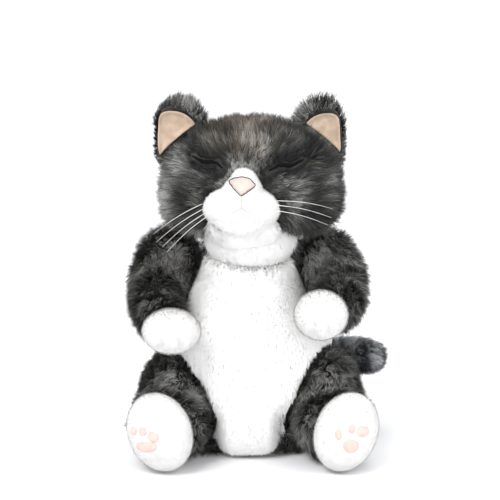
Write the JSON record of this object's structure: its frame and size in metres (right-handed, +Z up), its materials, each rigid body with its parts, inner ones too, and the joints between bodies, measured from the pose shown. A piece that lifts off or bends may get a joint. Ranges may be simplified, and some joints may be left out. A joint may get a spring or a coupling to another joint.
{
  "type": "plush cat",
  "caption": "Seated plush cat with closed eyes, dark mottled coat, white muzzle, bib, paws and feet, and a soft head, arms, legs, ears and tail that flex.",
  "frame": {"origin": "middle of the flat seat panel that the cat sits on", "axes": "+Z up, -Y the way the cat looks, +X the cat's own left"},
  "size_m": [0.2381, 0.2255, 0.316],
  "materials": {
    "dark_pile": "long-pile plush, mottled charcoal and black",
    "white_pile": "medium-pile plush, white",
    "white_velour": "very short-pile plush, white",
    "tail_pile": "medium-pile plush, grey with dark rings",
    "ear_lining": "short-nap fabric, warm beige",
    "pink_velour": "short-nap fabric, pale peach pink",
    "dark_thread": "embroidery thread, near black",
    "pink_thread": "embroidery thread, pale pink",
    "white_thread": "sewing thread, off-white",
    "whisker": "stiff clear-white nylon filament",
    "stuffing": "loose polyester fibre fill",
    "inner_bag": "thin non-woven bag cloth",
    "pellets": "small plastic beads"
  },
  "bodies": {
    "torso": {"body_cover": "dark_pile", "belly_panel": "white_pile", "seat_panel": "dark_pile", "body_stuffing": "stuffing", "pellet_bag": "inner_bag", "pellets": "pellets", "closing_seam": "dark_thread"},
    "neck": {"neck_cover": "dark_pile", "throat_panel": "white_pile", "neck_stuffing": "stuffing"},
    "head": {"head_cover_right": "dark_pile", "head_cover_left": "dark_pile", "head_centre_strip": "dark_pile", "muzzle_cover": "white_velour", "chin_cover": "white_velour", "nose_patch": "pink_velour", "nose_outline_stitches": "dark_thread", "mouth_stitches": "pink_thread", "eyelid_stitches_right": "dark_thread", "eyelid_stitches_left": "dark_thread", "whiskers_right": "whisker", "whiskers_left": "whisker", "head_stuffing": "stuffing"},
    "ear_right": {"ear_back_right": "dark_pile", "ear_lining_right": "ear_lining"},
    "ear_left": {"ear_back_left": "dark_pile", "ear_lining_left": "ear_lining"},
    "arm_right": {"arm_cover_right": "dark_pile", "paw_cover_right": "white_velour", "paw_stitches_right": "white_thread", "arm_stuffing_right": "stuffing"},
    "arm_left": {"arm_cover_left": "dark_pile", "paw_cover_left": "white_velour", "paw_stitches_left": "white_thread", "arm_stuffing_left": "stuffing"},
    "leg_right": {"leg_cover_right": "dark_pile", "foot_cover_right": "white_velour", "foot_pads_right": "pink_velour", "toe_stitches_right": "white_thread", "leg_stuffing_right": "stuffing"},
    "leg_left": {"leg_cover_left": "dark_pile", "foot_cover_left": "white_velour", "foot_pads_left": "pink_velour", "toe_stitches_left": "white_thread", "leg_stuffing_left": "stuffing"},
    "tail": {"tail_cover": "tail_pile", "tail_stuffing": "stuffing"}
  },
  "joints": [
    {"name": "head_turn", "type": "hinge", "parent": "torso", "child": "neck", "pos_m": [0.002, -0.006, 0.188], "axis": [0, 0, 1], "range_deg": [-25, 25], "stiffness_Nm_per_rad": 0.25},
    {"name": "head_nod", "type": "hinge", "parent": "neck", "child": "head", "pos_m": [0.002, -0.006, 0.188], "axis": [1, 0, 0], "range_deg": [-7, 10], "stiffness_Nm_per_rad": 0.6},
    {"name": "ear_right_flex", "type": "hinge", "parent": "head", "child": "ear_right", "pos_m": [-0.058, 0.001, 0.28], "axis": [0.7578, 0, 0.6525], "range_deg": [-15, 15], "stiffness_Nm_per_rad": 0.012},
    {"name": "ear_left_flex", "type": "hinge", "parent": "head", "child": "ear_left", "pos_m": [0.062, 0.001, 0.279], "axis": [0.7578, 0, -0.6525], "range_deg": [-15, 15], "stiffness_Nm_per_rad": 0.012},
    {"name": "arm_right_swing", "type": "hinge", "parent": "torso", "child": "arm_right", "pos_m": [-0.07, 0.01, 0.17], "axis": [-1, 0, 0], "range_deg": [0, 26], "stiffness_Nm_per_rad": 0.05},
    {"name": "arm_left_swing", "type": "hinge", "parent": "torso", "child": "arm_left", "pos_m": [0.07, 0.01, 0.168], "axis": [-1, 0, 0], "range_deg": [0, 20], "stiffness_Nm_per_rad": 0.05},
    {"name": "leg_right_lift", "type": "hinge", "parent": "torso", "child": "leg_right", "pos_m": [-0.061, -0.02, 0.049], "axis": [-0.9781, 0.2079, 0], "range_deg": [0, 25], "stiffness_Nm_per_rad": 0.08},
    {"name": "leg_left_lift", "type": "hinge", "parent": "torso", "child": "leg_left", "pos_m": [0.065, -0.02, 0.049], "axis": [-0.9613, -0.2756, 0], "range_deg": [0, 25], "stiffness_Nm_per_rad": 0.08},
    {"name": "tail_swing", "type": "hinge", "parent": "torso", "child": "tail", "pos_m": [0.014, 0.071, 0.048], "axis": [0, 0, 1], "range_deg": [-3, 55], "stiffness_Nm_per_rad": 0.04}
  ]
}
